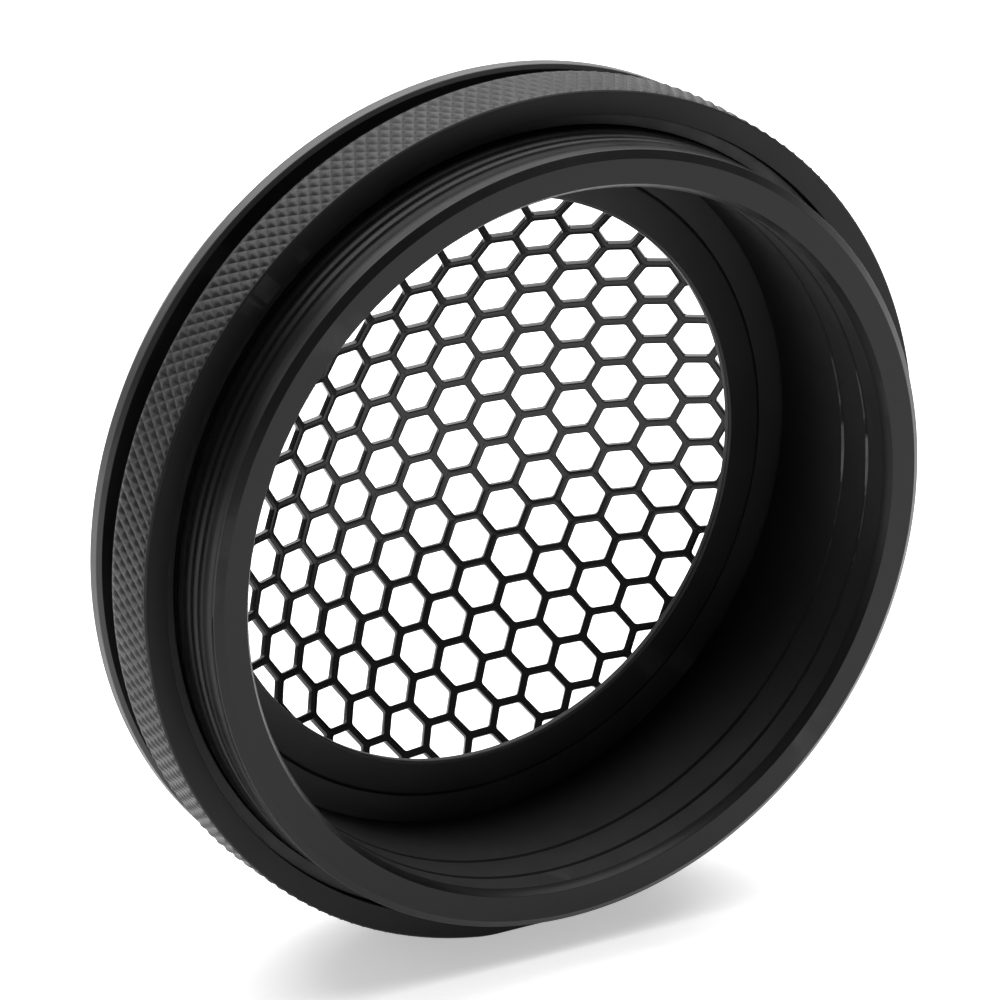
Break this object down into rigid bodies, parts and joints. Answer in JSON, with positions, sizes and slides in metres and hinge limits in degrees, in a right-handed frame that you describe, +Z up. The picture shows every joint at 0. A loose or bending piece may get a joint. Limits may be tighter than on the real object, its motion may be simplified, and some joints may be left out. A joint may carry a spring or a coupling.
{
  "type": "honeycomb snoot",
  "caption": "Short round snoot: a threaded collar with a knurled lock ring, a stepped bore and a domed honeycomb grid closing its rear.",
  "frame": {"origin": "on the axis, in the plane where the collar's plain pilot ends and its thread begins", "axes": "-Y points out of the mouth along the axis, +Y towards the honeycomb dome, +Z up, +X to the right seen from the mouth"},
  "size_m": [0.0966, 0.0398, 0.0966],
  "materials": {
    "anodised_body": "satin black anodised",
    "anodised_inner": "satin black anodised",
    "flocked_liner": "matte black",
    "baffle_black": "satin black",
    "gasket_rubber": "matte",
    "grid_black": "semi-gloss black coat",
    "anodised_bezel": "satin black anodised",
    "washer_plastic": "matte black",
    "anodised_ring": "satin black anodised, diamond knurl"
  },
  "bodies": {
    "barrel": {"collar": "anodised_body", "front_spacer": "anodised_inner", "bore_liner": "flocked_liner", "aperture_baffle": "baffle_black", "rear_gasket": "gasket_rubber"},
    "washer": {"slip_washer": "washer_plastic"},
    "knurled_ring": {"lock_ring": "anodised_ring"},
    "grid": {"honeycomb_dome": "grid_black"},
    "bezel": {"rear_bezel": "anodised_bezel"}
  },
  "joints": [
    {"name": "washer_travel", "type": "slide", "parent": "barrel", "child": "washer", "axis": [0, 1, 0], "range_m": [-0.00375, 0.00375]},
    {"name": "ring_turn", "type": "hinge", "parent": "washer", "child": "knurled_ring", "pos_m": [0, 0, 0], "axis": [0, 1, 0], "range_deg": [-900, 900]},
    {"name": "grid_travel", "type": "slide", "parent": "barrel", "child": "grid", "axis": [0, 1, 0], "range_m": [0, 0.003]},
    {"name": "bezel_turn", "type": "hinge", "parent": "grid", "child": "bezel", "pos_m": [0, 0, 0], "axis": [0, 1, 0], "range_deg": [0, 720]}
  ],
  "couplings": [
    {"joint": "washer_travel", "follows": "ring_turn", "m_per_rad": 0.00023873},
    {"joint": "grid_travel", "follows": "bezel_turn", "m_per_rad": 0.00023873}
  ]
}
